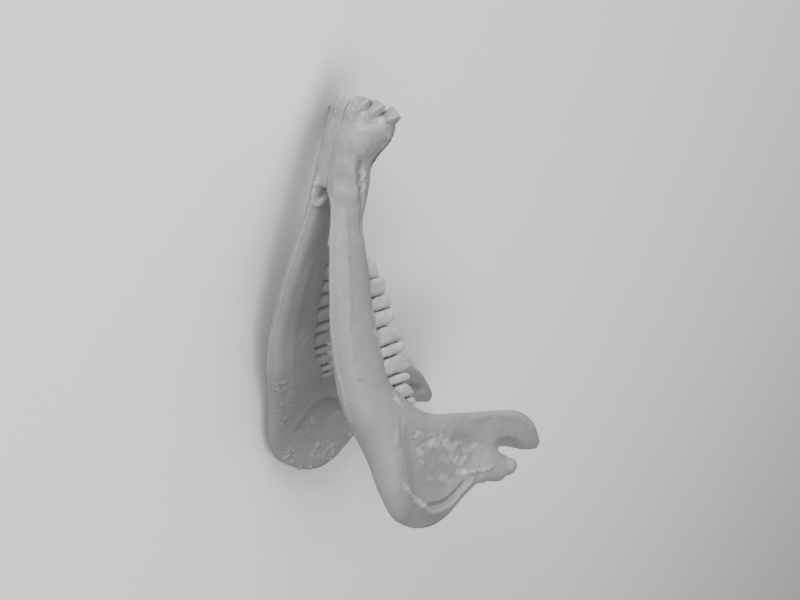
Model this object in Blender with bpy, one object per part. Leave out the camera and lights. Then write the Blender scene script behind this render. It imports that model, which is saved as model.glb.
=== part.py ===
"""The lower jaw of a bull, life size, lying on its right side as it rests on a table.

The two halves of the jaw are two bones that meet at the middle seam of the chin.
Each half is one closed solid: the chin and the toothless bar, the body with six cheek teeth,
the angle, the upright branch with its hooked process and its joint knob, and four front teeth.

Sizes are millimetres in the jaw's own frame, and become metres where a mesh is made:
u runs back from the front teeth, h runs up from the lower border, w runs out from the middle plane.
"""

import math
import random

import bmesh
import bpy
from mathutils import Matrix, Vector

MM = 0.001
SEAM_GAP = 0.3
SUPPORT_FLAT_DEPTH = 0.8
SUPPORT_REACH = 30.0
FLOOR_PASSES = 6

# Cross-sections of the bone from the rim of the chin, along the body and up the branch.
# Each row: upper edge (u, h, w), lower edge (u, h, w), half thickness, outward bow of the middle.
BODY_SECTIONS = [
    ((16, 93, 37), (3, 73, -6), 6.0, 4),
    ((27, 88, 37), (15, 66, -6), 8.5, 5),
    ((38, 80, 32), (30, 57, -6), 9.5, 4),
    ((50, 74, 27), (46, 49.5, -5), 9.5, 3),
    ((64, 71, 24), (62, 43, -3), 9.5, 2),
    ((80, 67, 22), (80, 33, 10), 9.5, 1),
    ((98, 61, 19), (97, 28, 17), 9.0, 0),
    ((118, 57.5, 24), (118, 21.5, 22.5), 10.0, 0),
    ((140, 56, 27), (140, 14.5, 28), 10.5, 1),
    ((170, 53, 32), (170, 6.5, 35.5), 11.5, 2),
    ((205, 50, 40), (205, 0.5, 42.5), 12.5, 3),
    ((240, 52, 49), (240, -0.5, 49), 14.0, 3),
    ((264, 66, 56), (270, 4, 58), 14.5, 3),
    ((277, 77, 63), (300, 9.5, 67), 12.0, 3),
    ((286, 89, 67), (330, 13, 75), 10.0, 3),
    ((294, 104, 69), (358, 21, 81), 8.5, 3),
    ((301, 122, 70), (384, 42, 83), 7.5, 3),
    ((308, 139, 71), (400, 70, 83), 6.5, 2),
    ((315, 158, 72), (401, 98, 83), 6.0, 1),
    ((322, 176, 73), (390, 124, 82.5), 5.5, 0),
    ((329, 192, 74), (386, 143, 82), 5.5, 0),
]
BODY_RINGS = 52
BODY_SIDES = 28
BODY_SQUARENESS = 0.75

# The hooked process in front of the notch: front edge, back edge, half thickness, bow.
HOOK_SECTIONS = [
    ((322, 174, 73), (357, 158, 79), 4.8, 0),
    ((333, 201, 74), (364, 176, 79), 4.8, 0),
    ((342, 217, 75), (370, 190, 79), 4.6, 0),
    ((353, 230, 76), (379, 204, 79), 4.4, 0),
    ((367, 240, 77), (387.5, 218, 78), 4.0, 0),
    ((382, 247, 77), (395, 233, 78), 3.4, 0),
    ((394, 252, 77), (400, 244, 77), 2.4, 0),
]
HOOK_RINGS = 14
HOOK_SIDES = 14
HOOK_SQUARENESS = 0.8
# The tip rounds off over the last stretch of its length, down to this share of its width.
TIP_FROM = 0.93
TIP_SHARE = 0.2

# The neck behind the notch, and the knob of the jaw joint on it.
NECK_SECTIONS = [
    ((350, 158, 79), (386, 138, 82), 6.0, 0),
    ((362, 172, 80), (389, 150, 82), 7.5, 0),
    ((370, 179, 81), (395, 161, 82), 9.5, 0),
    ((376, 186, 81), (400, 171, 81), 10.5, 0),
]
NECK_RINGS = 8
NECK_SIDES = 14
NECK_SQUARENESS = 0.9
# Each row across the knob: middle of the cut (u, h, w), half length along u, half height.
KNOB_SECTIONS = [
    ((403, 177, 60), 2.0, 1.5),
    ((401, 178, 62), 6.5, 5.5),
    ((397, 180, 70), 9.5, 8.0),
    ((391, 182, 80), 10.0, 8.5),
    ((387, 184, 89), 9.5, 8.0),
    ((384, 185, 95), 6.5, 5.5),
    ((384, 185, 98), 2.0, 1.5),
]
KNOB_RINGS = 12
KNOB_SIDES = 14

# Cheek teeth from front to back: breadth, then the length and height of each of their columns.
CHEEK_TEETH = [
    (9.5, [(17.5, 7.0)]),
    (12.0, [(16.5, 13.5)]),
    (14.0, [(12.5, 16.0), (15.0, 19.5)]),
    (15.5, [(17.0, 22.0), (10.5, 22.5)]),
    (16.0, [(18.0, 22.5), (9.0, 18.5)]),
    (15.5, [(16.5, 13.5), (8.5, 12.0), (5.5, 8.0)]),
]
CHEEK_ROW_START = 132.0
CHEEK_ROOT = 14.0
CHEEK_SIDES = 10
# The way the crowns point in (u, h, w), and how far neighbouring columns run into each other.
CHEEK_LEAN = (0.1, 1.0, 0.03)
COLUMN_OVERLAP = 1.12
# Widths of a column at its root, its foot, near its top and on its top.
COLUMN_WIDTHS = (0.8, 0.95, 1.04, 0.78)
COLUMN_SHOULDER = 0.75
# Shares of the height: the slope of the chewing face, and the bottom of its valley.
CUSP_DROP = 0.22
VALLEY = 0.8
HEIGHT_SPREAD = 0.04
# The line of the tooth row, seen from above and from the side: (u, h, w) where bone and teeth meet.
CHEEK_ROW = [
    (131, 59, 25.5),
    (160, 58, 30.5),
    (190, 55, 37.5),
    (220, 54, 45),
    (250, 59, 53),
    (282, 70, 57.5),
]

# Front teeth from the middle outwards: width of the edge, length of the crown, angle of the fan.
FRONT_TEETH = [
    (12.0, 15.5, 2.0),
    (13.0, 15.5, 8.0),
    (16.0, 14.0, 19.0),
    (16.0, 10.5, 31.0),
]
FRONT_ROOT = 16.0
FRONT_SIDES = 8
# The way the crowns point, forwards and up, and how they curl up towards their edge.
FRONT_AXIS = (0.86, 0.5)
FRONT_CURL = 0.012
FRONT_SQUARENESS = 0.8
# Each row down a crown: share of its length, half width as a share, half thickness.
FRONT_LEVELS = [(0.0, 0.46, 5.4), (0.45, 0.5, 4.6), (0.9, 0.53, 2.7), (1.0, 0.5, 1.8)]
FRONT_ROOT_END = (0.34, 4.0)
# The rim where the front teeth leave the bone, from the middle plane outwards.
FRONT_RIM = [(6, 72, 3.5), (6, 73, 9), (7.5, 79, 18.5), (11.5, 88, 30)]

# The hollow of the chewing muscle on the outer face: rim (u, h), depth, width of its slope.
CHEWING_RIM = [
    (272, 56),
    (286, 46),
    (312, 41),
    (340, 44),
    (358, 54),
    (373, 70),
    (379, 93),
    (376, 118),
    (368, 145),
    (345, 158),
    (326, 146),
    (311, 118),
    (296, 88),
    (284, 68),
]
CHEWING_DEPTH = 3.5
CHEWING_SLOPE = 9.0
# The hollow of the inner chewing muscle, on the inner face.
INNER_RIM = [(305, 40), (345, 34), (374, 58), (386, 90), (376, 118), (345, 112), (318, 84)]
INNER_DEPTH = 2.5
INNER_SLOPE = 14.0
# The thick outer band below the hollow: its middle (u, h), half sizes, height.
BAND = ((318, 29), (60, 17), 4.0)
BAND_EDGE = 1.3
FACE_TURN = 3.0

# How the two halves differ: length against height, lean back with height, and worn front teeth.
LEFT = {"stretch": 1.0, "lean": 0.0, "wear": (0.0, 0.0, 0.0, 0.0), "seed": 3}
RIGHT = {"stretch": 1.018, "lean": -0.018, "wear": (5.5, 8.5, 8.0, 7.5), "seed": 4}

# Where the lying jaw touches the table, in the jaw frame of the right half.
SUPPORTS = [(16, 93, -42), (387, 185, -98), (322, 32, -87)]

BONE = ((0.42, 0.42, 0.41, 1.0), 0.5)


def spline(rows, t):
    """The value at t from 0 to 1 of a smooth curve through equally spaced rows of numbers."""
    place = t * (len(rows) - 1)
    i = min(int(place), len(rows) - 2)
    f = place - i
    before = rows[max(i - 1, 0)]
    after = rows[min(i + 2, len(rows) - 1)]
    out = []
    for p0, p1, p2, p3 in zip(before, rows[i], rows[i + 1], after):
        m1 = (p2 - p0) / 2
        m2 = (p3 - p1) / 2
        out.append(
            (2 * f**3 - 3 * f**2 + 1) * p1
            + (f**3 - 2 * f**2 + f) * m1
            + (3 * f**2 - 2 * f**3) * p2
            + (f**3 - f**2) * m2
        )
    return out


def flat_row(section):
    upper, lower, thick, bow = section
    return [*upper, *lower, thick, bow]


def rounded(value, power):
    return math.copysign(abs(value) ** power, value)


def tube(bm, rings, sides, place):
    """A closed skin of rings by sides, where place(t, angle) gives each point."""
    loops = []
    for r in range(rings):
        t = r / (rings - 1)
        loop = [
            bm.verts.new(place(t, 2 * math.pi * k / sides) * MM) for k in range(sides)
        ]
        loops.append(loop)
    for a, b in zip(loops, loops[1:]):
        for k in range(sides):
            n = (k + 1) % sides
            bm.faces.new((a[k], a[n], b[n], b[k]))
    bm.faces.new(loops[0][::-1])
    bm.faces.new(loops[-1])


def plate_place(sections, squareness, round_end):
    """Points of a flat bone whose cuts run from an upper edge to a lower edge."""
    rows = [flat_row(s) for s in sections]

    def edges(t):
        values = spline(rows, t)
        return Vector(values[0:3]), Vector(values[3:6]), values[6], values[7]

    def place(t, angle):
        upper, lower, thick, bow = edges(t)
        step = 0.01
        u1, l1, _, _ = edges(min(t + step, 1))
        u0, l0, _, _ = edges(max(t - step, 0))
        along = (u1 + l1 - u0 - l0).normalized()
        half = (upper - lower) / 2
        outward = along.cross(half).normalized()
        end = 1.0
        if round_end and t > TIP_FROM:
            past = (t - TIP_FROM) / (1 - TIP_FROM)
            end = math.sqrt(max(0.0, 1 - past**2)) * (1 - TIP_SHARE) + TIP_SHARE
        c = rounded(math.cos(angle), squareness) * end
        s = rounded(math.sin(angle), squareness) * end
        middle = (upper + lower) / 2
        return middle + half * c + outward * (thick * s + bow * (1 - c * c))

    return place


def knob_place(t, angle):
    rows = [[*middle, a, b] for middle, a, b in KNOB_SECTIONS]
    u, h, w, a, b = spline(rows, t)
    return Vector((u + a * math.cos(angle), h + b * math.sin(angle), w))


def ease(x):
    x = max(0.0, min(1.0, x))
    return x * x * (3 - 2 * x)


def inside(rim, u, h):
    """How far (u, h) lies inside a closed rim, or 0 outside it."""
    nearest = math.inf
    crossings = 0
    for (u0, h0), (u1, h1) in zip(rim, rim[1:] + rim[:1]):
        du, dh = u1 - u0, h1 - h0
        f = max(0.0, min(1.0, ((u - u0) * du + (h - h0) * dh) / (du * du + dh * dh)))
        nearest = min(nearest, math.hypot(u0 + f * du - u, h0 + f * dh - h))
        if (h0 > h) != (h1 > h) and u < u0 + (h - h0) / dh * du:
            crossings += 1
    return nearest if crossings % 2 else 0.0


def swell(patch, u, h):
    (cu, ch), (au, ah), height = patch
    r = math.hypot((u - cu) / au, (h - ch) / ah)
    return height * ease(BAND_EDGE - r)


body_sweep = plate_place(BODY_SECTIONS, BODY_SQUARENESS, False)


def body_place(t, angle):
    point = body_sweep(t, angle)
    facing = math.sin(angle)
    if facing > 0:
        point.z += swell(BAND, point.x, point.y) * ease(facing * FACE_TURN)
        hollow = inside(CHEWING_RIM, point.x, point.y) / CHEWING_SLOPE
        point.z -= CHEWING_DEPTH * ease(hollow)
    else:
        hollow = inside(INNER_RIM, point.x, point.y) / INNER_SLOPE
        point.z += INNER_DEPTH * ease(hollow)
    return point


def add_mesh(name, bm):
    bmesh.ops.recalc_face_normals(bm, faces=bm.faces)
    mesh = bpy.data.meshes.new(name)
    bm.to_mesh(mesh)
    bm.free()
    obj = bpy.data.objects.new(name, mesh)
    bpy.context.scene.collection.objects.link(obj)
    return obj


def skin(name, rings, sides, place):
    bm = bmesh.new()
    tube(bm, rings, sides, place)
    return add_mesh(name, bm)


def cheek_row_place(u):
    """Where the tooth row meets the bone at a given u."""
    for a, b in zip(CHEEK_ROW, CHEEK_ROW[1:]):
        if u <= b[0] or b is CHEEK_ROW[-1]:
            f = (u - a[0]) / (b[0] - a[0])
            return Vector(a).lerp(Vector(b), f)


def column(name, foot, along, length, breadth, height):
    """One column of a cheek tooth: a leaning oval post with a valley between its two cusps."""
    along = along.normalized()
    up = Vector(CHEEK_LEAN).normalized()
    across = along.cross(up).normalized()
    levels = (-CHEEK_ROOT, 0.0, COLUMN_SHOULDER * height, height)
    bm = bmesh.new()
    loops = []
    for level, scale in zip(levels, COLUMN_WIDTHS):
        loop = []
        for k in range(CHEEK_SIDES):
            a = 2 * math.pi * k / CHEEK_SIDES
            x = math.cos(a) * length / 2 * scale
            y = math.sin(a) * breadth / 2 * scale
            drop = 0.0
            if level == height:
                drop = CUSP_DROP * height * math.cos(a) ** 2
            loop.append(bm.verts.new((foot + along * x + across * y + up * (level - drop)) * MM))
        loops.append(loop)
    for a, b in zip(loops, loops[1:]):
        for k in range(CHEEK_SIDES):
            n = (k + 1) % CHEEK_SIDES
            bm.faces.new((a[k], a[n], b[n], b[k]))
    bm.faces.new(loops[0][::-1])
    valley = bm.verts.new((foot + up * height * VALLEY) * MM)
    for k in range(CHEEK_SIDES):
        bm.faces.new((loops[-1][k], loops[-1][(k + 1) % CHEEK_SIDES], valley))
    return add_mesh(name, bm)


def cheek_teeth(side, vary):
    made = []
    start = CHEEK_ROW_START
    for n, (breadth, columns) in enumerate(CHEEK_TEETH):
        for c, (length, height) in enumerate(columns):
            middle = start + length / 2
            foot = cheek_row_place(middle)
            along = cheek_row_place(middle + 2) - cheek_row_place(middle - 2)
            tall = height * (1 + vary.uniform(-HEIGHT_SPREAD, HEIGHT_SPREAD))
            name = f"{side}_cheek_{n}_{c}"
            made.append(column(name, foot, along, length * COLUMN_OVERLAP, breadth, tall))
            start += length
    return made


def front_tooth(name, foot, fan, width, length):
    """A chisel tooth: a round neck that widens to a flat cutting edge."""
    a = math.radians(fan)
    forwards, upwards = FRONT_AXIS
    out = Vector((-math.cos(a), 0.0, math.sin(a)))
    axis = (out * forwards + Vector((0, upwards, 0))).normalized()
    across = Vector((math.sin(a), 0.0, math.cos(a)))
    face = axis.cross(across).normalized()
    levels = [(-FRONT_ROOT, *FRONT_ROOT_END)]
    levels += [(share * length, wide, thick) for share, wide, thick in FRONT_LEVELS]
    bm = bmesh.new()
    loops = []
    for level, wide, thick in levels:
        bend = FRONT_CURL * max(level, 0.0) ** 2
        loop = []
        for k in range(FRONT_SIDES):
            q = 2 * math.pi * k / FRONT_SIDES
            x = rounded(math.cos(q), FRONT_SQUARENESS) * width * wide
            y = math.sin(q) * thick + bend
            loop.append(bm.verts.new((foot + axis * level + across * x + face * y) * MM))
        loops.append(loop)
    for lower, upper in zip(loops, loops[1:]):
        for k in range(FRONT_SIDES):
            n = (k + 1) % FRONT_SIDES
            bm.faces.new((lower[k], lower[n], upper[n], upper[k]))
    bm.faces.new(loops[0][::-1])
    bm.faces.new(loops[-1])
    return add_mesh(name, bm)


def front_teeth(side, wear):
    made = []
    for n, (width, length, fan) in enumerate(FRONT_TEETH):
        foot = Vector(FRONT_RIM[n])
        made.append(front_tooth(f"{side}_front_{n}", foot, fan, width, length - wear[n]))
    return made


def cut(obj, point, normal):
    """Removes what lies before a plane and closes the cut with a flat face."""
    bm = bmesh.new()
    bm.from_mesh(obj.data)
    everything = bm.verts[:] + bm.edges[:] + bm.faces[:]
    done = bmesh.ops.bisect_plane(
        bm, geom=everything, dist=1e-7, plane_co=point, plane_no=normal, clear_inner=True
    )
    rim = [e for e in done["geom_cut"] if isinstance(e, bmesh.types.BMEdge)]
    bmesh.ops.holes_fill(bm, edges=rim, sides=0)
    bmesh.ops.triangulate(bm, faces=bm.faces)
    bmesh.ops.recalc_face_normals(bm, faces=bm.faces)
    bm.to_mesh(obj.data)
    bm.free()


def join(node, pieces):
    """Unites closed pieces with the node, then drops the pieces."""
    group = bpy.data.collections.new(node.name + "_pieces")
    for piece in pieces:
        bpy.context.scene.collection.objects.unlink(piece)
        group.objects.link(piece)
    union = node.modifiers.new("union", "BOOLEAN")
    union.operation = "UNION"
    union.operand_type = "COLLECTION"
    union.collection = group
    union.solver = "EXACT"
    graph = bpy.context.evaluated_depsgraph_get()
    node.data = bpy.data.meshes.new_from_object(node.evaluated_get(graph))
    node.modifiers.clear()
    for piece in pieces:
        bpy.data.objects.remove(piece)
    bpy.data.collections.remove(group)


def keep_largest(obj):
    bm = bmesh.new()
    bm.from_mesh(obj.data)
    bmesh.ops.remove_doubles(bm, verts=bm.verts, dist=1e-5)
    bm.verts.ensure_lookup_table()
    seen = set()
    groups = []
    for start in bm.verts:
        if start in seen:
            continue
        group = [start]
        seen.add(start)
        for vert in group:
            for edge in vert.link_edges:
                other = edge.other_vert(vert)
                if other not in seen:
                    seen.add(other)
                    group.append(other)
        groups.append(group)
    groups.sort(key=len, reverse=True)
    for group in groups[1:]:
        bmesh.ops.delete(bm, geom=group, context="VERTS")
    bm.to_mesh(obj.data)
    bm.free()


def bone_material(name):
    colour, roughness = BONE
    material = bpy.data.materials.new(name)
    material.use_nodes = True
    shader = material.node_tree.nodes["Principled BSDF"]
    shader.inputs["Base Color"].default_value = colour
    shader.inputs["Roughness"].default_value = roughness
    shader.inputs["Metallic"].default_value = 0.0
    return material


def half_jaw(side, mirror, ways):
    vary = random.Random(ways["seed"])
    bone = skin(f"mandible_{side}", BODY_RINGS, BODY_SIDES, body_place)
    hook_place = plate_place(HOOK_SECTIONS, HOOK_SQUARENESS, True)
    neck_place = plate_place(NECK_SECTIONS, NECK_SQUARENESS, False)
    pieces = [
        skin(f"{side}_hook", HOOK_RINGS, HOOK_SIDES, hook_place),
        skin(f"{side}_neck", NECK_RINGS, NECK_SIDES, neck_place),
        skin(f"{side}_knob", KNOB_RINGS, KNOB_SIDES, knob_place),
    ]
    pieces += cheek_teeth(side, vary)
    pieces += front_teeth(side, ways["wear"])
    join(bone, pieces)
    keep_largest(bone)
    cut(bone, (0, 0, SEAM_GAP / 2 * MM), (0, 0, 1))
    change = Matrix.Diagonal((ways["stretch"], 1, -1 if mirror else 1, 1))
    change[0][1] = ways["lean"]
    bone.data.transform(change)
    if mirror:
        bone.data.flip_normals()
    bone.data.materials.clear()
    bone.data.materials.append(bone_material(f"bone_{side}"))
    bone.data.shade_smooth()
    return bone


def level_on(bones, supports):
    """Turns the jaw so that its three support places come down on the floor together."""
    points = [v.co.copy() for bone in bones for v in bone.data.vertices]
    turn = Matrix.Identity(3)
    for _ in range(FLOOR_PASSES):
        lowest = []
        for support in supports:
            place = Vector(support) * MM
            near = [turn @ p for p in points if (p - place).length < SUPPORT_REACH * MM]
            lowest.append(min(near, key=lambda q: q.z))
        a, b, c = lowest
        normal = (b - a).cross(c - a).normalized()
        if normal.z < 0:
            normal.negate()
        turn = normal.rotation_difference(Vector((0, 0, 1))).to_matrix() @ turn
    return turn


def lay_down(bones):
    """Rests the jaw on the floor, its length along X and its middle over the origin."""
    turn = level_on(bones, SUPPORTS)
    back = turn @ Vector((1, 0, 0))
    turn = Matrix.Rotation(-math.atan2(back.y, back.x), 3, "Z") @ turn
    for bone in bones:
        bone.data.transform(turn.to_4x4())
    points = [v.co for bone in bones for v in bone.data.vertices]
    floor = min(p.z for p in points) + SUPPORT_FLAT_DEPTH * MM
    middle = []
    for axis in (0, 1):
        values = [p[axis] for p in points]
        middle.append((min(values) + max(values)) / 2)
    move = Matrix.Translation((-middle[0], -middle[1], -floor))
    for bone in bones:
        bone.data.transform(move)
    return move @ turn.to_4x4()


for old in list(bpy.data.objects):
    bpy.data.objects.remove(old)

halves = [half_jaw("left", False, LEFT), half_jaw("right", True, RIGHT)]
rest = lay_down(halves)
cut(halves[1], (0, 0, 0), (0, 0, 1))
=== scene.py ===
import math
import random

import bmesh
import bpy
import numpy as np
from mathutils import Matrix, Vector, noise


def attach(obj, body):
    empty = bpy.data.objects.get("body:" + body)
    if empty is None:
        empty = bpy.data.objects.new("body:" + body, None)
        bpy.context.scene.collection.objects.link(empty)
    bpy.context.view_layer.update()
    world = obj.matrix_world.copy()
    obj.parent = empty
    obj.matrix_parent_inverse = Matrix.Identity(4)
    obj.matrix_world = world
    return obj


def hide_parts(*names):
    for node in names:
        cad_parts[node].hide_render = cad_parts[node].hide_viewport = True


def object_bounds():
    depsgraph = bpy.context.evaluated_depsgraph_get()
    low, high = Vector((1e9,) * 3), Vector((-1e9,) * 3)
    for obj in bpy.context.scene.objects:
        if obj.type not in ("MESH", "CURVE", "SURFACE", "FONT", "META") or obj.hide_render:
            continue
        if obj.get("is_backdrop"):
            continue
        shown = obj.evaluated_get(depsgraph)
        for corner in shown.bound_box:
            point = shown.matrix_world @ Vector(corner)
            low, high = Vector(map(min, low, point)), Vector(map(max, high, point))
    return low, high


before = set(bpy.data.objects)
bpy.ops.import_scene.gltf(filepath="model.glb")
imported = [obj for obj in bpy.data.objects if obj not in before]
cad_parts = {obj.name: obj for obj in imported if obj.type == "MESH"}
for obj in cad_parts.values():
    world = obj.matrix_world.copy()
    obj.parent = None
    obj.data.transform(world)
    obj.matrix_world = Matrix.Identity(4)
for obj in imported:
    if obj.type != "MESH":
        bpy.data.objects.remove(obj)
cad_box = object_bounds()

# The two bones of a bull's lower jaw, dry and grey. Each half is one bone: chin, toothless bar,
# body, angle and upright branch, with a hooked process and the knob of the jaw joint.
# Sizes are millimetres: u back from the front teeth, h up from the lower border, w outwards.
MM = 0.001
HALF_GAP = 0.03
lay_down = (
    Matrix.Translation((-0.20437, -0.12481, 0.03576))
    @ Matrix.Rotation(math.radians(-9.168), 4, "Y")
    @ Matrix.Rotation(math.radians(-0.3889), 4, "X")
    @ Matrix.Scale(MM, 4)
)
SKIN_STEP = 1.1

# Each row: upper edge (u, h, w), lower edge (u, h, w), half thickness, outward bow of the middle.
body_rows = [
    ((16, 93, 37), (3, 73, -6), 6.0, 4),
    ((27, 88, 37), (15, 66, -6), 8.5, 5),
    ((38, 80, 32), (30, 57, -6), 9.5, 4),
    ((50, 74, 27), (46, 49.5, -5), 9.5, 3),
    ((64, 71, 24), (62, 42.3, -3), 9.5, 2),
    ((80, 67, 22), (80, 34.3, 10), 9.5, 1),
    ((98, 61, 19), (97, 28, 17), 9.0, 0),
    ((118, 57.5, 24), (118, 21.5, 22.5), 10.0, 0),
    ((140, 56, 27), (140, 14.5, 28), 10.5, 1),
    ((170, 53, 32), (170, 6.5, 35.5), 11.5, 2),
    ((205, 50, 40), (205, 0.5, 42.5), 12.5, 3),
    ((240, 52, 49), (240, -0.5, 49), 14.0, 3),
    ((264, 66, 56), (270, 4, 58), 14.5, 3),
    ((277, 77, 63), (300, 9.5, 67), 12.0, 3),
    ((286, 89, 67), (330, 13, 75), 10.0, 3),
    ((294, 104, 69), (358, 21, 81), 8.5, 3),
    ((301, 122, 70), (384, 42, 83), 7.5, 3),
    ((308, 139, 71), (400, 70, 83), 6.5, 2),
    ((315, 158, 72), (401, 98, 83), 6.0, 1),
    ((322, 176, 73), (390, 124, 82.5), 5.5, 0),
    ((329, 192, 74), (386, 143, 82), 5.5, 0),
]
hook_rows = [
    ((322, 174, 73), (357, 158, 79), 4.8, 0),
    ((333, 201, 74), (364, 176, 79), 4.8, 0),
    ((342, 217, 75), (370, 190, 79), 4.6, 0),
    ((353, 230, 76), (379, 204, 79), 4.4, 0),
    ((367, 240, 77), (387.5, 218, 78), 4.0, 0),
    ((382, 247, 77), (395, 233, 78), 3.4, 0),
    ((394, 252, 77), (400, 244, 77), 2.4, 0),
]
neck_rows = [
    ((350, 158, 80), (386, 138, 82), 6.5, 0),
    ((362, 172, 81), (389, 150, 83), 8.5, 0),
    ((370, 179, 82), (395, 161, 83), 10.5, 0),
    ((376, 186, 82), (400, 171, 82), 12.5, 0),
]
# Across the knob: middle of the cut, half length along u, half height.
knob_rows = [
    (403, 177, 60, 2.0, 1.5),
    (401, 178, 62, 6.5, 5.5),
    (397, 180, 70, 10.0, 8.5),
    (391, 182, 80, 10.5, 9.0),
    (387, 184, 88, 10.0, 8.5),
    (385, 184.5, 93.5, 8.0, 7.0),
    (384, 185, 96.5, 3.0, 2.5),
]
# The hollow of the outer chewing muscle.
outer_hollow = [
    (270, 50), (278, 43), (291, 39), (305, 36), (318, 35), (329, 37), (340, 42), (352, 51), (362, 59),
    (369, 66), (375, 81), (377, 94), (374, 112), (371, 128), (368, 145), (345, 158), (326, 146),
    (311, 118), (296, 88), (284, 68),
]


def along_rows(rows, t):
    """The values at t from 0 to 1 of a smooth curve through evenly spaced rows."""
    place = t * (len(rows) - 1)
    i = min(int(place), len(rows) - 2)
    f = place - i
    p1, p2 = np.array(rows[i], float), np.array(rows[i + 1], float)
    p0 = np.array(rows[max(i - 1, 0)], float)
    p3 = np.array(rows[min(i + 2, len(rows) - 1)], float)
    m1, m2 = (p2 - p0) / 2, (p3 - p1) / 2
    swing = (2 * f**3 - 3 * f**2 + 1) * p1 + (f**3 - 2 * f**2 + f) * m1
    return swing + (3 * f**2 - 2 * f**3) * p2 + (f**3 - f**2) * m2


def ease(x):
    x = np.clip(x, 0.0, 1.0)
    return x * x * (3 - 2 * x)


def rounded(value, power):
    return math.copysign(abs(value) ** power, value)


def depth_inside(rim, u, h):
    """How far each place (u, h) lies inside a closed rim, or 0 outside it."""
    nearest = np.full(u.shape, 1e9)
    within = np.zeros(u.shape, bool)
    for (u0, h0), (u1, h1) in zip(rim, rim[1:] + rim[:1]):
        du, dh = u1 - u0, h1 - h0
        f = np.clip(((u - u0) * du + (h - h0) * dh) / (du * du + dh * dh), 0, 1)
        nearest = np.minimum(nearest, np.hypot(u0 + f * du - u, h0 + f * dh - h))
        if dh:
            within ^= ((h0 > h) != (h1 > h)) & (u < u0 + (h - h0) / dh * du)
    return np.where(within, nearest, 0.0)


def rolled_skin(rings, sides, place, shade=None):
    """A grid rolled into a tube, where place(t, angle) gives each point and shade(t) its painted shade, with its
    ends closed.
    """
    bm = bmesh.new()
    bmesh.ops.create_grid(bm, x_segments=rings, y_segments=sides, size=0.5)
    painted_shading = bm.verts.layers.float.new("painted_shading")
    for vert in bm.verts:
        vert[painted_shading] = shade(vert.co.x + 0.5) if shade else 0.0
        vert.co = place(vert.co.x + 0.5, (vert.co.y + 0.5) * 2 * math.pi)
    bmesh.ops.remove_doubles(bm, verts=bm.verts, dist=0.0005)
    rims = [edge for edge in bm.edges if edge.is_boundary]
    bmesh.ops.holes_fill(bm, edges=rims, sides=0)
    bmesh.ops.recalc_face_normals(bm, faces=bm.faces)
    return bm


def plate_place(sections, squareness, tip_from=None):
    """Points of a flat bone whose cuts run from an upper edge to a lower edge."""
    rows = [[*upper, *lower, thick, bow] for upper, lower, thick, bow in sections]
    known = {}

    def cut_at(t):
        key = round(t, 6)
        if key not in known:
            here = along_rows(rows, t)
            after = along_rows(rows, min(t + 0.01, 1))
            before = along_rows(rows, max(t - 0.01, 0))
            ahead = Vector(after[:3] + after[3:6] - before[:3] - before[3:6]).normalized()
            half = Vector(here[:3] - here[3:6]) / 2
            outward = ahead.cross(half).normalized()
            known[key] = (Vector(here[:3] + here[3:6]) / 2, half, outward, here[6], here[7])
        return known[key]

    def place(t, angle):
        middle, half, outward, thick, bow = cut_at(t)
        end = 1.0
        if tip_from and t > tip_from:
            past = (t - tip_from) / (1 - tip_from)
            end = math.sqrt(max(0.0, 1 - past**2)) * 0.8 + 0.2
        c = rounded(math.cos(angle), squareness) * end
        s = rounded(math.sin(angle), squareness) * end
        return middle + half * c + outward * (thick * s + bow * (1 - c * c))

    return place


def knob_place(t, angle):
    u, h, w, a, b = along_rows(knob_rows, t)
    return Vector((u + a * math.cos(angle), h + b * math.sin(angle), w))


# The four front teeth of each half fan out from the rim of the chin, and the bone of their sockets
# grows up round their necks. Each tooth: foot, width, length, angle of the fan, turn about its length.
front_teeth = [
    ((6, 72, 3.5), 12.5, 15.5, 2.0, 8),
    ((6, 73, 9.5), 14.0, 15.5, 8.0, 22),
    ((7.5, 79, 18.5), 16.5, 14.0, 19.0, 26),
    ((11.5, 88, 30), 16.0, 10.5, 31.0, 26),
]
FRONT_ROOT = 14.0
# Along the crown and in over its edge: share of the length, half width as a share, half thickness.
crown_rows = [
    (-0.8, 0.3, 2.2), (-0.4, 0.38, 3.6), (-0.1, 0.45, 5.0), (0.15, 0.48, 5.4), (0.4, 0.5, 4.8),
    (0.7, 0.52, 3.7), (0.92, 0.53, 2.6), (1.0, 0.51, 1.8), (0.995, 0.44, 1.0), (0.985, 0.2, 0.4),
    (0.985, 0.01, 0.02),
]
socket_rows = [
    (-0.8, 0.34, 3.2), (-0.4, 0.44, 5.0), (-0.1, 0.5, 6.4), (0.1, 0.51, 6.4), (0.26, 0.5, 5.6),
    (0.36, 0.45, 4.0), (0.39, 0.3, 1.5), (0.39, 0.01, 0.05),
]


def front_crown(rows, foot, width, length, fan, twist, seed):
    a = math.radians(fan)
    out = Vector((-math.cos(a), 0.0, math.sin(a)))
    axis = (out * 0.86 + Vector((0, 0.5, 0))).normalized()
    across = Vector((math.sin(a), 0.0, math.cos(a)))
    across.rotate(Matrix.Rotation(math.radians(-twist), 3, axis))
    face = axis.cross(across).normalized()

    def place(t, angle):
        level, wide, thick = along_rows(rows, t)
        reach = level * (length if level > 0 else FRONT_ROOT)
        x = rounded(math.cos(angle), 0.5) * width * wide
        y = rounded(math.sin(angle), 0.45) * thick + 0.012 * max(reach, 0.0) ** 2
        spot = foot + axis * reach + across * x + face * y
        return spot + noise.noise_vector(spot / 6 + Vector((seed, 0, 0))) * 0.3

    return rolled_skin(40, 36, place)


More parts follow.
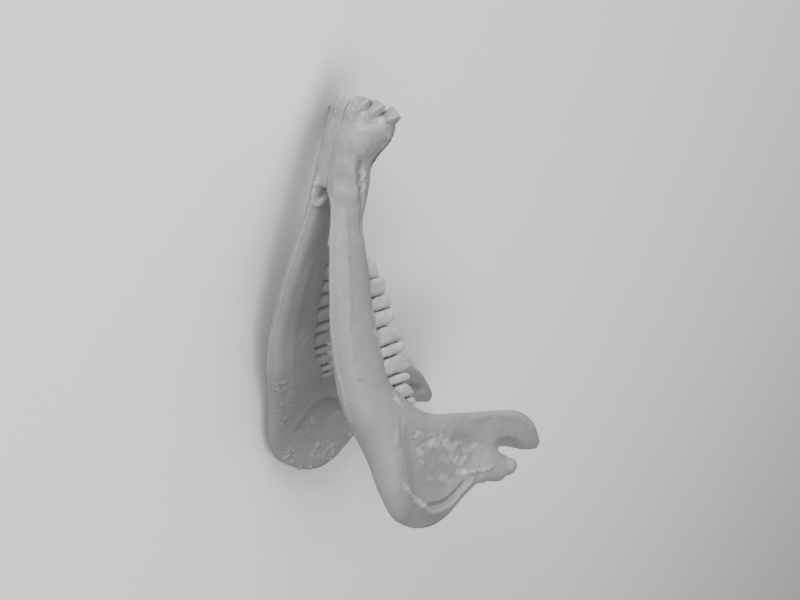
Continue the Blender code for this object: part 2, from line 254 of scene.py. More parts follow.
raw_bone = bmesh.new()
for rings, sides, place in [
    (330, 110, plate_place(body_rows, 0.75)),
    (70, 48, plate_place(hook_rows, 0.8, 0.93)),
    (30, 48, plate_place(neck_rows, 0.9)),
    (36, 48, knob_place),
]:
    part = rolled_skin(rings, sides, place)
    held = bpy.data.meshes.new("held")
    part.to_mesh(held)
    part.free()
    raw_bone.from_mesh(held)
    bpy.data.meshes.remove(held)


for foot, *sizes in front_teeth:
    part = front_crown(socket_rows, Vector(foot), *sizes, 0)
    held = bpy.data.meshes.new("held")
    part.to_mesh(held)
    part.free()
    raw_bone.from_mesh(held)
    bpy.data.meshes.remove(held)


def one_skin(bm, step, softening, softer):
    """Melts overlapping closed shapes into one even skin, its joins softened, some places more."""
    mesh = bpy.data.meshes.new("melting")
    bm.to_mesh(mesh)
    obj = bpy.data.objects.new("melting", mesh)
    bpy.context.scene.collection.objects.link(obj)
    melt = obj.modifiers.new("melt", "REMESH")
    melt.mode = "VOXEL"
    melt.voxel_size = step
    skin = bpy.data.meshes.new_from_object(
        obj.evaluated_get(bpy.context.evaluated_depsgraph_get())
    )
    bpy.data.objects.remove(obj)
    bpy.data.meshes.remove(mesh)
    soft = bmesh.new()
    soft.from_mesh(skin)
    for lowest, highest, passes in [((-99, -99), (999, 999), softening), *softer]:
        verts = [
            vert for vert in soft.verts
            if lowest[0] < vert.co.x < highest[0] and lowest[1] < vert.co.y < highest[1]
        ]
        for _ in range(passes):
            bmesh.ops.smooth_vert(
                soft, verts=verts, factor=0.5, use_axis_x=True, use_axis_y=True, use_axis_z=True
            )
    soft.to_mesh(skin)
    soft.free()
    return skin


chin_rim = [((-99, -99), (17 - n * 2, 999), 9) for n in range(3)]
behind_chin = [((36 + n, -99), (108 - n * 1.4, 999), 4) for n in range(22)]
under_knob = [((353 + n * 3, 145 + n * 3), (402 - n, 181 - n), 15) for n in range(3)]
smooth_bone = one_skin(raw_bone, SKIN_STEP, 16, chin_rim + behind_chin + under_knob)
raw_bone.free()

# What the muscles, vessels and joints have left on the bone. Each mark: the face it is on, its
# shape, its line in (u, h), or in (u, w) under the chin, how wide it reaches, and its height.
# A flake is flat-topped with a sharp rim, a swell is broad and soft. On the right of its line a drop is a sharp step that
# runs out again, and a fall thins the plate more and more from its outer face.
# Ridges and flakes also colour the bone: grooves take painted shade, raised ridges and flakes painted light.
marks = [
    # rim of the outer chewing muscle, from the front of the branch round to the neck
    ("outer", "ridge", [(268, 45), (278, 42), (286, 39), (297, 37), (305, 35), (318, 34), (329, 36)], 2.2, -0.7),
    ("outer", "drop", [(369, 66), (362, 59), (352, 51), (340, 42), (329, 37), (318, 35), (305, 36), (291, 39), (278, 43)], 16, -1.1),
    ("outer", "ridge", [(272, 38), (280, 34), (290, 30)], 5, 0.9),
    ("outer", "ridge", [(300, 27), (318, 26), (334, 31)], 5, 0.5),
    ("outer", "ridge", [(366, 62), (372, 72), (375, 81), (377, 90), (376, 100), (374, 110), (371, 120)], 3.6, -2.0),
    ("outer", "ridge", [(360, 54), (369, 61), (378, 67), (382, 77), (385, 89), (385, 100), (381, 111), (378, 122), (376, 133)], 5, 1.7),
    ("outer", "fall", [(352, 43), (364, 53), (374, 62), (381, 71), (386, 82), (388, 92), (388, 104), (384, 118), (378, 132)], 11, -0.24),
    ("outer", "ridge", [(326, 32), (338, 38), (348, 43), (358, 50), (366, 58)], 3.4, 1.2),
    ("outer", "flake", [(332, 34), (336, 36)], 2.4, 0.5),
    ("outer", "flake", [(344, 41), (353, 47)], 3.0, 0.6),
    ("outer", "flake", [(357, 50), (364, 56)], 3.8, 0.8),
    ("outer", "ridge", [(362, 120), (367, 132), (370, 140), (372, 150), (372, 158)], 4, 1.3),
    # flat scabs, lightened with painted light, and folds inside it
    ("outer", "flake", [(308, 61), (314, 66)], 4.5, 0.33),
    ("outer", "flake", [(318, 60), (322, 64)], 2.6, 0.26),
    ("outer", "flake", [(309, 79), (312, 84), (313, 92)], 5.5, 0.39),
    ("outer", "flake", [(320, 100), (328, 107), (330, 112)], 5.5, 0.39),
    ("outer", "flake", [(336, 106), (346, 112)], 4.5, 0.33),
    ("outer", "flake", [(346, 113), (352, 118), (350, 124)], 5, 0.39),
    ("outer", "flake", [(333, 94), (340, 101)], 3.4, 0.26),
    ("outer", "flake", [(342, 126), (345, 134), (344, 143)], 4.2, 0.33),
    ("outer", "flake", [(351, 87), (356, 95)], 4.6, 0.33),
    ("outer", "flake", [(361, 96), (363, 101)], 3, 0.26),
    ("outer", "flake", [(342, 68), (345, 75)], 3, 0.26),
    ("outer", "flake", [(291, 62), (297, 69)], 3.4, 0.33),
    ("outer", "flake", [(299, 76), (302, 82)], 3, 0.26),
    ("outer", "flake", [(318, 98), (319, 104)], 3, 0.33),
    ("outer", "flake", [(305, 92), (311, 97)], 3, 0.26),
    ("outer", "flake", [(328, 118), (332, 125)], 3, 0.26),
    ("outer", "flake", [(358, 112), (364, 122)], 3.6, 0.33),
    ("outer", "ridge", [(273, 49), (282, 54), (288, 57), (292, 66)], 2.6, 0.7),
    ("outer", "ridge", [(285, 48), (293, 56), (297, 64)], 2.4, 0.6),
    ("outer", "ridge", [(303, 60), (304, 72), (308, 84)], 3, -0.6),
    ("outer", "ridge", [(318, 70), (323, 82), (330, 92)], 6, -0.5),
    ("outer", "ridge", [(330, 78), (338, 87)], 2.4, 0.5),
    ("outer", "ridge", [(318, 118), (326, 131)], 2.4, 0.5),
    # the hooked process: raised front border, thinned rear edge
    ("outer", "ridge", [(312, 140), (318, 156), (321, 170), (330, 190), (343, 212), (357, 227), (372, 237)], 7, 1.2),
    ("outer", "fall", [(345, 170), (352, 184), (357, 194), (366, 206), (378, 218), (391, 232)], 7, -0.8),
    ("outer", "ridge", [(354, 196), (358, 204)], 4, 0.6),
    # lower border of the body, and cracks from drying
    ("outer", "ridge", [(78, 41), (96, 37), (112, 32), (128, 28), (152, 21), (176, 13), (205, 9)], 4.5, 0.6),
    ("under", "ridge", [(70, 11), (88, 15), (104, 18), (128, 24), (152, 30), (177, 35), (194, 40), (212, 45), (230, 50), (250, 53), (262, 56)], 2.4, 1.2),
    ("outer", "ridge", [(218, 9), (219, 17), (225, 24), (235, 31), (240, 34)], 2.0, 0.6),
    ("outer", "ridge", [(222, 12), (229, 23), (240, 33)], 2.0, -0.5),
    ("outer", "ridge", [(243, 15), (245, 28)], 1.8, 0.35),
    # edge of the sockets beside the cheek teeth
    ("outer", "ridge", [(170, 47), (190, 45), (212, 45), (228, 52), (240, 58), (256, 64), (270, 72)], 2.6, 1.1),
    ("outer", "flake", [(189, 41), (192, 43)], 2.6, 0.8),
    ("outer", "flake", [(226, 50), (228, 54)], 2.6, 0.9),
    ("outer", "flake", [(252, 46), (256, 50)], 2.6, 0.7),
    # opening of the chin nerve: a long rough-floored hollow with a furrow behind it
    ("outer", "ridge", [(40, 60), (53, 59), (64, 58), (76, 56)], 5, -2.6),
    ("outer", "ridge", [(36, 56), (50, 55), (60, 54), (72, 52)], 3, 0.6),
    ("outer", "ridge", [(74, 57), (90, 55), (108, 52)], 2.6, -0.8),
    ("outer", "flake", [(51, 61), (57, 62)], 2.8, 0.5),
    ("outer", "flake", [(60, 60), (66, 60)], 3.0, 0.6),
    ("outer", "flake", [(69, 58), (73, 58)], 2.6, 0.5),
    # under the chin: the hollow at its outer corner, the rim beside it, faint lines
    ("outer", "fall", [(56, 42), (40, 54), (30, 61), (23, 68), (17, 76), (12, 88), (4, 100)], 14, -0.36),
    ("outer", "swell", [(25, 72), (33, 69), (40, 66), (47, 62)], 12, -1.6),
    ("outer", "swell", [(52, 53), (60, 50), (66, 47)], 17, 3.2),
    ("outer", "ridge", [(22, 85), (29, 84), (36, 80)], 3.5, 1.3),
    ("under", "ridge", [(28, 13), (36, 13), (46, 15)], 3, 0.5),
    ("under", "ridge", [(24, 17), (29, 20), (34, 20)], 2.6, 0.5),
    ("under", "flake", [(7, 8), (8, 10)], 1.6, 0.4),
    ("under", "flake", [(9, 27), (10, 28)], 1.6, 0.4),
    # inside of the angle: sharp edge of the inner muscle's hollow
    ("inner", "drop", [(339, 38), (333, 41), (327, 45), (320, 54), (314, 62), (312, 73), (316, 87), (325, 98), (337, 104), (350, 107)], 40, -4.8),
    ("inner", "ridge", [(352, 61), (360, 69)], 3, 0.9),
    ("inner", "ridge", [(366, 108), (378, 109)], 3.5, 0.8),
    ("inner", "ridge", [(335, 66), (342, 70)], 3.5, 0.9),
    ("inner", "ridge", [(296, 72), (306, 63), (318, 49), (328, 40)], 5, 0.8),
    ("inner", "ridge", [(130, 34), (160, 25), (200, 17), (240, 16), (276, 22), (305, 30)], 7, 0.8),
    # inside of the hooked process
    ("inner", "ridge", [(360, 208), (368, 219), (376, 231)], 7, -2.6),
    ("inner", "ridge", [(378, 226), (384, 238)], 4, 0.9),
    # lip at the back of the branch, under the knob
    ("rear", "ridge", [(150, 78), (158, 77), (165, 76)], 6, 5.0),
    ("rear", "ridge", [(157, 78), (160, 77)], 5, 3.5),
]
right_marks = [
    ("under", "ridge", [(10, 9), (15, 7), (22, 6), (30, 5)], 4, -0.6),
    ("under", "ridge", [(69, 4), (73, 4)], 6.5, -4.4),
    ("under", "flake", [(60, 9), (64, 12)], 2.6, 0.6),
    ("under", "flake", [(70, 13), (74, 13)], 2.8, 0.7),
    ("under", "ridge", [(78, 12), (81, 9), (82, 4)], 3, 1.0),
    # tendon knots in the hollow inside the angle, and small folds of the bone
    ("inner", "flake", [(367, 72), (371, 70)], 2.6, 1.9),
    ("inner", "flake", [(375, 68), (376, 67)], 1.8, 1.4),
    ("inner", "flake", [(380, 66), (382, 65)], 2.0, 1.6),
    ("inner", "flake", [(387, 64), (388, 64)], 1.6, 1.2),
    ("inner", "flake", [(393, 64), (395, 63)], 2.4, 1.9),
    ("inner", "flake", [(387, 49), (389, 50)], 2.2, 1.6),
    ("inner", "flake", [(388, 94), (391, 93)], 2.2, 1.5),
    ("inner", "flake", [(398, 93), (400, 92)], 2.2, 1.5),
    ("inner", "flake", [(379, 118), (381, 119)], 2.8, 1.9),
    ("inner", "ridge", [(268, 14), (269, 25), (271, 35)], 2.2, -0.6),
    ("inner", "ridge", [(212, 38), (215, 31), (222, 25)], 2.2, -0.5),
]
left_marks = [
    ("under", "ridge", [(70, 8), (75, 12)], 3, 0.7),
]
# Rough patches: the face, middle, reach, size of the lumps, their height.
rough_patches = [
    ("outer", (318, 88), 30, 10.0, 0.3),
    ("outer", (345, 116), 20, 7.0, 0.3),
    ("outer", (290, 62), 14, 4.5, 0.35),
    ("outer", (368, 142), 12, 3.0, 0.6),
    ("outer", (58, 61), 10, 3.0, 0.6),
    ("outer", (254, 54), 14, 4.0, 0.4),
    ("inner", (262, 5), 14, 3.5, 0.6),
    ("inner", (290, 20), 12, 4.0, 0.7),
    ("inner", (314, 25), 12, 3.5, 0.8),
    ("inner", (348, 32), 14, 3.5, 0.7),
    ("inner", (366, 36), 12, 4.0, 0.8),
    ("inner", (380, 84), 20, 5.0, 0.6),
    ("inner", (338, 62), 16, 4.5, 0.6),
    ("under", (68, 6), 8, 3.0, 0.4),
]


def nearest_on_line(flat, line):
    """For each place: distance to the line, the side it is on, and how far in from its ends."""
    gap_to = np.full(len(flat), 1e9)
    side = np.ones(len(flat))
    inwards = np.zeros(len(flat))
    lengths = [math.dist(a, b) for a, b in zip(line, line[1:])]
    done = 0.0
    for a, b, length in zip(line, line[1:], lengths):
        a, step = np.array(a, float), np.subtract(b, a)
        f = np.clip(((flat - a) @ step) / (length * length), 0, 1)
        gap = flat - (a + f[:, None] * step)
        far = np.hypot(gap[:, 0], gap[:, 1])
        closer = far < gap_to
        gap_to = np.where(closer, far, gap_to)
        side = np.where(closer, np.sign(step[0] * gap[:, 1] - step[1] * gap[:, 0]), side)
        way = done + f * length
        inwards = np.where(closer, np.minimum(way, sum(lengths) - way), inwards)
        done += length
    return gap_to, side, inwards


def carve(mesh, lines, patches, seed):
    """Raises and sinks the skin along the lines and in the rough patches, and stores painted shade for its grooves
    and painted light for its raised ridges, flakes and lumps.
    """
    count = len(mesh.vertices)
    spots = np.empty(count * 3)
    turns = np.empty(count * 3)
    mesh.vertices.foreach_get("co", spots)
    mesh.vertices.foreach_get("normal", turns)
    spots, turns = spots.reshape(-1, 3), turns.reshape(-1, 3)
    u, h, w = spots.T
    outer, inner = ease(turns[:, 2] * 3), ease(-turns[:, 2] * 3)
    faces = {
        "outer": (outer, [0, 1]),
        "inner": (inner, [0, 1]),
        "under": (ease(-turns[:, 1] * 3), [0, 2]),
        "rear": (ease(turns[:, 0] * 3), [1, 2]),
    }
    ragged = np.array([noise.noise_vector(Vector(spot) / 5 + Vector((seed, 3, 0))) for spot in spots])
    ragged += 0.5 * np.array([noise.noise_vector(Vector(spot) / 2.2) for spot in spots])
    push = -3.4 * ease(depth_inside(outer_hollow, u, h) / 17) * outer
    thinned = np.zeros(count)
    push += 4.0 * ease(1.3 - np.hypot((u - 318) / 60, (h - 29) / 17)) * outer
    tone = np.zeros(count)
    for face, shape, line, reach, height in lines:
        mask, axes = faces[face]
        low, high = np.min(line, 0) - 2 * reach, np.max(line, 0) + 2 * reach
        flat = spots[:, axes] + ragged[:, axes] * {"flake": 2.3, "swell": 0.0}.get(shape, 0.6)
        near = np.where(((flat > low) & (flat < high)).all(1) & (mask > 0))[0]
        gap_to, side, inwards = nearest_on_line(flat[near], line)
        close = np.clip(1 - gap_to / reach, 0, 1)
        short = math.dist(line[0], line[-1]) < 2 * reach
        if shape == "drop" or shape == "fall":
            taper = ease(inwards / (30 if shape == "fall" else 12))
        else:
            taper = 1.0 if short else ease((inwards + reach * 0.6) / (reach * 1.6))
        if shape == "ridge":
            change = height * (1 - (1 - close) ** 2) ** 2 * taper
        elif shape == "flake":
            change = height * ease(close * reach / 1.6)
        elif shape == "swell":
            change = height * ease(close)
        elif shape == "drop":
            change = height * ease(gap_to / 2.2) * ease(1 - gap_to / reach) * (side < 0) * taper
        else:
            slid = np.minimum(gap_to, reach) * (side < 0) * ease(4 - 2 * gap_to / reach)
            thinned[near] += height * slid * taper * ease(0.8 + turns[near, 2])
            continue
        push[near] += change * mask[near]
        # Grooves are darkened with painted shade, raised ridges and flakes lightened with painted light.
        tone[near] += change * mask[near] * {"ridge": 0.8, "flake": 4.2}.get(shape, 0.0)
    for face, middle, reach, grain, height in patches:
        mask, axes = faces[face]
        far = np.hypot(*(spots[:, axes] - middle).T)
        near = np.where((far < reach) & (mask > 0))[0]
        for i in near:
            x = Vector(spots[i]) / grain + Vector((seed * 7.3, 0, 0))
            lump = noise.noise(x) + 0.4 * noise.noise(x * 2.3)
            raised = float(ease((lump - 0.1) * 7))
            fade = float(ease(2 - 2 * far[i] / reach)) * mask[i]
            push[i] += height * (raised + 0.5 * lump) * fade
            # Lump tops are lightened with painted light, the ground between them darkened a little with painted
            # shade.
            tone[i] += (raised * 1.2 - 0.2) * fade * min(height * 2, 1)
    for i in range(count):
        x = Vector(spots[i])
        push[i] += 0.45 * noise.noise(x / 26 + Vector((seed, 0, 0))) + 0.13 * noise.noise(x / 8)
    spots += turns * push[:, None]
    spots[:, 2] += thinned
    mesh.vertices.foreach_set("co", spots.ravel())
    painted_shading = mesh.attributes.new("painted_shading", "FLOAT", "POINT")
    painted_shading.data.foreach_set("value", np.clip(tone, -2, 2).astype(np.float32))
    mesh.update()


def keep_beyond(mesh, point, way):
    """Cuts a closed mesh with a plane, keeps the side it points to, and closes the cut."""
    bm = bmesh.new()
    bm.from_mesh(mesh)
    everything = bm.verts[:] + bm.edges[:] + bm.faces[:]
    done = bmesh.ops.bisect_plane(
        bm, geom=everything, dist=1e-7, plane_co=point, plane_no=way, clear_inner=True
    )
    rim = [item for item in done["geom_cut"] if isinstance(item, bmesh.types.BMEdge)]
    for edge in rim:
        edge.smooth = False
    bmesh.ops.holes_fill(bm, edges=rim, sides=0)
    bmesh.ops.triangulate(bm, faces=[face for face in bm.faces if len(face.verts) > 4])
    bm.to_mesh(mesh)
    bm.free()


left_change = Matrix.Identity(4)
right_change = Matrix.Diagonal((1.018, 1, -1, 1))
right_change[0][1] = -0.018


def settle(mesh, name, change, node, finish):
    """Moves a mesh from the jaw's own frame to the floor, as an object of its own with its finish, and hides that
    half of the CAD model.
    """
    mesh.transform(lay_down @ change)
    if change.determinant() < 0:
        mesh.flip_normals()
    if node == "mandible_right":
        lowest = min(vert.co.z for vert in mesh.vertices)
        if lowest < 0:
            keep_beyond(mesh, (0, 0, 0), (0, 0, 1))
    piece = bpy.data.objects.new(name, mesh)
    bpy.context.scene.collection.objects.link(piece)
    mesh.materials.clear()
    mesh.materials.append(finish)
    mesh.polygons.foreach_set("use_smooth", [True] * len(mesh.polygons))
    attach(piece, "root")
    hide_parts(node)
    return piece


def bone_finish():
    """Dry grey bone: soft gloss, faint mottling, fine pores and grain, painted shade in the hollows and painted
    light on the ridges, flakes and lumps.
    """
    material = bpy.data.materials.new("dry_grey_bone")
    material.use_nodes = True
    nodes, links = material.node_tree.nodes, material.node_tree.links
    shader = nodes["Principled BSDF"]
    shader.inputs["IOR"].default_value = 1.5
    shader.inputs["Specular IOR Level"].default_value = 0.5
    coords = nodes.new("ShaderNodeTexCoord")

    def cloud(scale, detail, roughness=0.5, stretch=None):
        node = nodes.new("ShaderNodeTexNoise")
        node.inputs["Scale"].default_value = scale
        node.inputs["Detail"].default_value = detail
        node.inputs["Roughness"].default_value = roughness
        source = coords.outputs["Object"]
        if stretch:
            mapping = nodes.new("ShaderNodeMapping")
            mapping.inputs["Scale"].default_value = stretch
            links.new(source, mapping.inputs["Vector"])
            source = mapping.outputs["Vector"]
        links.new(source, node.inputs["Vector"])
        return node.outputs["Fac"]

    def spread(value, low, high, to_low, to_high):
        node = nodes.new("ShaderNodeMapRange")
        for name, number in zip(("From Min", "From Max", "To Min", "To Max"), (low, high, to_low, to_high)):
            node.inputs[name].default_value = number
        links.new(value, node.inputs["Value"])
        return node.outputs["Result"]

    def blend(kind, factor, a, b):
        node = nodes.new("ShaderNodeMix")
        node.data_type = "RGBA"
        node.blend_type = kind
        for socket, value in zip((node.inputs["Factor"], node.inputs[6], node.inputs[7]), (factor, a, b)):
            if isinstance(value, bpy.types.NodeSocket):
                links.new(value, socket)
            else:
                socket.default_value = value
        return node.outputs[2]

    def dent(height, depth, strength, before=None):
        node = nodes.new("ShaderNodeBump")
        node.inputs["Distance"].default_value = depth
        node.inputs["Strength"].default_value = strength
        links.new(height, node.inputs["Height"])
        if before:
            links.new(before, node.inputs["Normal"])
        return node.outputs["Normal"]

    painted_shading = nodes.new("ShaderNodeAttribute")
    painted_shading.attribute_name = "painted_shading"
    colour = blend("MIX", spread(cloud(14, 3), 0.35, 0.65, 0, 1), (0.395, 0.395, 0.385, 1), (0.44, 0.44, 0.432, 1))
    colour = blend("MULTIPLY", spread(cloud(120, 6, 0.65), 0.4, 0.75, 0, 0.35), colour, (0.78, 0.78, 0.77, 1))
    # Painted shade darkens the hollows and grooves, painted light lightens the raised ridges, flakes and lumps.
    colour = blend("MULTIPLY", spread(painted_shading.outputs["Fac"], -0.2, -2.0, 0, 0.55), colour, (0.5, 0.5, 0.49, 1))
    colour = blend("MIX", spread(painted_shading.outputs["Fac"], 0.3, 1.6, 0, 0.65), colour, (0.58, 0.58, 0.57, 1))
    links.new(colour, shader.inputs["Base Color"])
    links.new(spread(cloud(60, 4), 0.3, 0.7, 0.36, 0.52), shader.inputs["Roughness"])
    pores = nodes.new("ShaderNodeTexVoronoi")
    pores.inputs["Scale"].default_value = 520
    links.new(coords.outputs["Object"], pores.inputs["Vector"])
    holes = spread(pores.outputs["Distance"], 0.0, 0.35, 0, 1)
    normal = dent(holes, 0.0002, 0.25)
    normal = dent(cloud(420, 5, 0.6), 0.0004, 0.3, normal)
    normal = dent(cloud(180, 4, 0.6, (0.25, 1, 1)), 0.0006, 0.3, normal)
    links.new(normal, shader.inputs["Normal"])
    return material


dry_bone = bone_finish()

for side, change, own_marks, seed in [
    ("left", left_change, left_marks, 1),
    ("right", right_change, right_marks, 2),
]:
    half = smooth_bone.copy()
    carve(half, marks + own_marks, rough_patches, seed)
    keep_beyond(half, (0, 0, HALF_GAP), (0, 0, 1))
    settle(half, f"{side}_jaw_bone", change, f"mandible_{side}", dry_bone)
bpy.data.meshes.remove(smooth_bone)

# The six cheek teeth of each half stand in one row in their sockets. Each is made of upright
# pillars side by side, with an enamel rim, a worn trough and a pit on the chewing face, the trough
# and pit darkened with painted shade.
# Each tooth: breadth, then the length and height of each pillar, and where its peak leans.
cheek_teeth = [
    (9.5, [(17.5, 7.5, 0.9)]),
    (12.0, [(16.5, 14.0, -0.8)]),
    (14.0, [(12.5, 16.5, -0.5), (15.0, 20.0, -1.25)]),
    (15.5, [(17.0, 22.5, 1.0), (10.5, 22.0, -0.3)]),
    (16.0, [(18.0, 21.8, 0.6), (9.0, 16.8, 0.3)]),
    (15.5, [(16.5, 13.5, 0.4), (8.5, 12.0, 0.0), (5.5, 8.0, -0.3)]),
]
row_line = [
    (131, 59, 25.5), (160, 58, 30.5), (190, 55, 37.5), (220, 54, 45), (250, 59, 53), (282, 70, 57.5),
]
ROW_START = 132.0
CHEEK_LEAN = Vector((0.10, 1.0, 0.03))
# Up the wall, over the rim and in to the middle of a pillar: share of the height, share of the width.
pillar_rows = [
    (-0.8, 0.84), (-0.5, 0.9), (-0.2, 0.95), (0.0, 0.98), (0.2, 1.0), (0.45, 1.02), (0.7, 1.03),
    (0.88, 1.03), (0.96, 1.01), (0.995, 0.94), (1.0, 0.86), (0.985, 0.76), (0.92, 0.64), (0.93, 0.5),
    (0.95, 0.42), (0.87, 0.34), (0.77, 0.24), (0.71, 0.12), (0.69, 0.01),
]


def row_place(u):
    for a, b in zip(row_line, row_line[1:]):
        if u <= b[0] or b is row_line[-1]:
            return Vector(a).lerp(Vector(b), (u - a[0]) / (b[0] - a[0]))


def pillar(foot, ahead, length, breadth, height, peak, seed):
    up = CHEEK_LEAN.normalized()
    across = ahead.cross(up).normalized()

    def place(t, angle):
        level, share = along_rows(pillar_rows, t)
        outward = math.sin(angle) > 0
        c = rounded(math.cos(angle), 0.62 if outward else 0.85)
        s = rounded(math.sin(angle), 0.75 if outward else 1.0)
        flute = 1 + 0.02 * math.cos(5 * angle) * (share > 0.8)
        x = c * length * 0.515 * share * flute
        y = s * breadth / 2 * share * flute
        top = float(ease((level - 0.4) / 0.6))
        dip = height * top * share * (0.2 * (math.cos(angle) - peak * 0.6) ** 2 - 0.05 * max(0.0, -s))
        spot = foot + ahead * x + across * y + up * (level * height - dip)
        wobble = noise.noise_vector(spot / 6 + Vector((seed, 0, 0)))
        return spot + wobble * 0.8

    # Painted shade: the pit darkest, the worn trough half as dark.
    def shade(t):
        level, share = along_rows(pillar_rows, t)
        return -1.0 if share < 0.36 else (-0.5 if share < 0.72 and level < 0.95 else 0.0)

    return rolled_skin(38, 48, place, shade)


def tooth_finish(name, dark, light):
    """Worn enamel on grey teeth: smoother than the bone, faint upright streaks, painted shade in the pits."""
    material = bpy.data.materials.new(name)
    material.use_nodes = True
    nodes, links = material.node_tree.nodes, material.node_tree.links
    shader = nodes["Principled BSDF"]
    coords = nodes.new("ShaderNodeTexCoord")
    mapping = nodes.new("ShaderNodeMapping")
    mapping.inputs["Scale"].default_value = (1.0, 0.2, 1.0)
    links.new(coords.outputs["Object"], mapping.inputs["Vector"])
    streaks = nodes.new("ShaderNodeTexNoise")
    streaks.inputs["Scale"].default_value = 420
    streaks.inputs["Detail"].default_value = 4
    links.new(mapping.outputs["Vector"], streaks.inputs["Vector"])
    clouds = nodes.new("ShaderNodeTexNoise")
    clouds.inputs["Scale"].default_value = 70
    clouds.inputs["Detail"].default_value = 4
    links.new(coords.outputs["Object"], clouds.inputs["Vector"])
    tones = nodes.new("ShaderNodeValToRGB")
    tones.color_ramp.elements[0].position = 0.3
    tones.color_ramp.elements[0].color = (dark, dark, dark * 0.98, 1)
    tones.color_ramp.elements[1].position = 0.7
    tones.color_ramp.elements[1].color = (light, light, light * 0.975, 1)
    links.new(clouds.outputs["Fac"], tones.inputs["Fac"])
    # Painted shade: the worn trough and the pit are multiplied towards dark brown-grey.
    painted_pit_shade = nodes.new("ShaderNodeAttribute")
    painted_pit_shade.attribute_name = "painted_shading"
    darker = nodes.new("ShaderNodeMapRange")
    for name, number in zip(("From Min", "From Max", "To Min", "To Max"), (0, -1, 0, 0.8)):
        darker.inputs[name].default_value = number
    links.new(painted_pit_shade.outputs["Fac"], darker.inputs["Value"])
    mix = nodes.new("ShaderNodeMix")
    mix.data_type = "RGBA"
    mix.blend_type = "MULTIPLY"
    links.new(darker.outputs["Result"], mix.inputs["Factor"])
    links.new(tones.outputs["Color"], mix.inputs[6])
    mix.inputs[7].default_value = (0.28, 0.27, 0.25, 1)
    links.new(mix.outputs[2], shader.inputs["Base Color"])
    rough = nodes.new("ShaderNodeMapRange")
    for name, number in zip(("To Min", "To Max"), (0.26, 0.46)):
        rough.inputs[name].default_value = number
    links.new(clouds.outputs["Fac"], rough.inputs["Value"])
    links.new(rough.outputs["Result"], shader.inputs["Roughness"])
    bump = nodes.new("ShaderNodeBump")
    bump.inputs["Distance"].default_value = 0.0003
    bump.inputs["Strength"].default_value = 0.35
    links.new(streaks.outputs["Fac"], bump.inputs["Height"])
    links.new(bump.outputs["Normal"], shader.inputs["Normal"])
    return material


enamel = tooth_finish("grey_tooth_enamel", 0.45, 0.54)

for side, change in (("left", left_change), ("right", right_change)):
    vary = random.Random(side)
    start = ROW_START
    for number, (breadth, pillars) in enumerate(cheek_teeth, 1):
        tooth = bmesh.new()
        for length, height, peak in pillars:
            middle = start + length / 2
            ahead = (row_place(middle + 2) - row_place(middle - 2)).normalized()
            tall = height * (1 + vary.uniform(-0.03, 0.03))
            post = pillar(row_place(middle), ahead, length, breadth, tall, peak, vary.uniform(0, 50))
            held = bpy.data.meshes.new("held")
            post.to_mesh(held)
            post.free()
            tooth.from_mesh(held)
            bpy.data.meshes.remove(held)
            start += length
        mesh = bpy.data.meshes.new(f"{side}_cheek_tooth_{number}")
        tooth.to_mesh(mesh)
        tooth.free()
        settle(mesh, f"{side}_cheek_tooth_{number}", change, f"mandible_{side}", enamel)

# The four front teeth of each half fan out from the rim of the chin. Each is a flat chisel of
# enamel on a round neck, curled up a little, its outer corner standing in front of the next.
# Each tooth: foot on the rim, width, length, angle of the fan, turn about its own length.
front_enamel = tooth_finish("grey_front_tooth_enamel", 0.36, 0.43)
front_wear = {"left": (0.0, 0.0, 0.0, 0.0), "right": (5.5, 8.5, 8.0, 7.5)}
for side, change in (("left", left_change), ("right", right_change)):
    for number, (foot, width, length, fan, twist) in enumerate(front_teeth):
        worn = length - front_wear[side][number]
        crown = front_crown(crown_rows, Vector(foot), width, worn, fan, twist, number + len(side))
        mesh = bpy.data.meshes.new(f"{side}_front_tooth_{number + 1}")
        crown.to_mesh(mesh)
        crown.free()
        if min(vert.co.z for vert in mesh.vertices) < HALF_GAP:
            keep_beyond(mesh, (0, 0, HALF_GAP), (0, 0, 1))
        settle(mesh, f"{side}_front_tooth_{number + 1}", change, f"mandible_{side}", front_enamel)

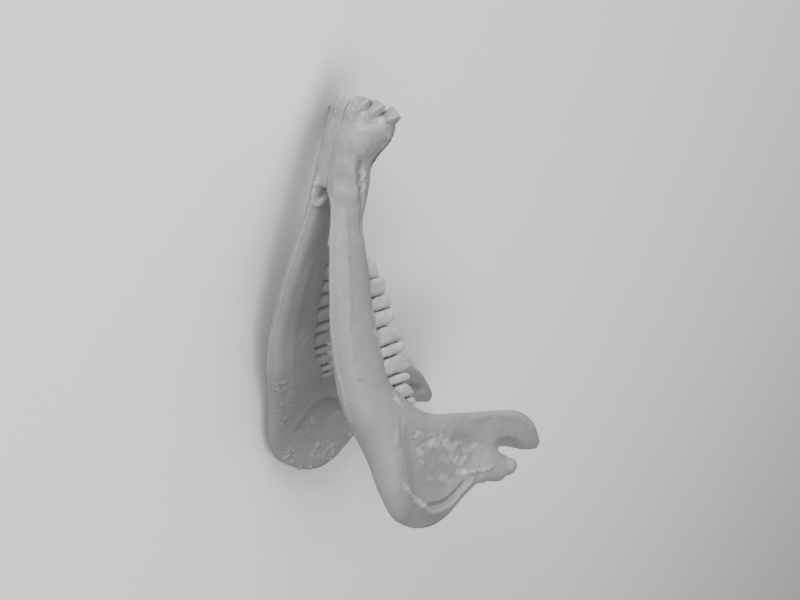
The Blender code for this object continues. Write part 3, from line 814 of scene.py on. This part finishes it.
# The floor is one wide sheet of pale studio board.
floor_sheet = bmesh.new()
bmesh.ops.create_grid(floor_sheet, x_segments=1, y_segments=1, size=4)
floor_mesh = bpy.data.meshes.new("floor")
floor_sheet.to_mesh(floor_mesh)
floor_sheet.free()
floor = bpy.data.objects.new("floor", floor_mesh)
bpy.context.scene.collection.objects.link(floor)
board = bpy.data.materials.new("pale_board")
board.use_nodes = True
board.node_tree.nodes["Principled BSDF"].inputs["Base Color"].default_value = (0.93, 0.93, 0.92, 1)
board.node_tree.nodes["Principled BSDF"].inputs["Roughness"].default_value = 0.85
floor_mesh.materials.append(board)
floor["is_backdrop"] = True

# Studio light: a large soft box low beside the camera, a smaller one above, and a pale room.
for name, place, width, height, power in [
    ("key_box", (-4.6, -1.75, 1.0), 3.6, 2.0, 172),
    ("top_box", (0.3, -0.3, 2.2), 1.6, 1.6, 11),
]:
    light = bpy.data.lights.new(name, "AREA")
    light.shape = "RECTANGLE"
    light.size, light.size_y = width, height
    light.energy = power
    lamp = bpy.data.objects.new(name, light)
    bpy.context.scene.collection.objects.link(lamp)
    lamp.location = place
    lamp.rotation_euler = (Vector(place) - Vector((0, 0, 0.08))).to_track_quat("Z", "Y").to_euler()
room = bpy.data.worlds.new("pale_room")
room.use_nodes = True
room.node_tree.nodes["Background"].inputs["Color"].default_value = (0.95, 0.96, 0.97, 1)
room.node_tree.nodes["Background"].inputs["Strength"].default_value = 0.335
bpy.context.scene.world = room
bpy.context.scene.view_settings.view_transform = "Standard"

# The camera stands above the floor on the side of the chin, turned as the photograph is.
camera = bpy.data.objects.new("camera", bpy.data.cameras.new("camera"))
bpy.context.scene.collection.objects.link(camera)
camera.data.lens = 50.0
camera.data.sensor_width = 36.0
camera.location = (-0.5699, -0.67975, 0.6646)
camera.rotation_euler = [math.radians(d) for d in (-36.937, -45.629, 96.65)]
bpy.context.scene.camera = camera

boxes = {"cad": cad_box, "visual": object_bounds()}
{name: [list(corner) for corner in box] for name, box in boxes.items()}
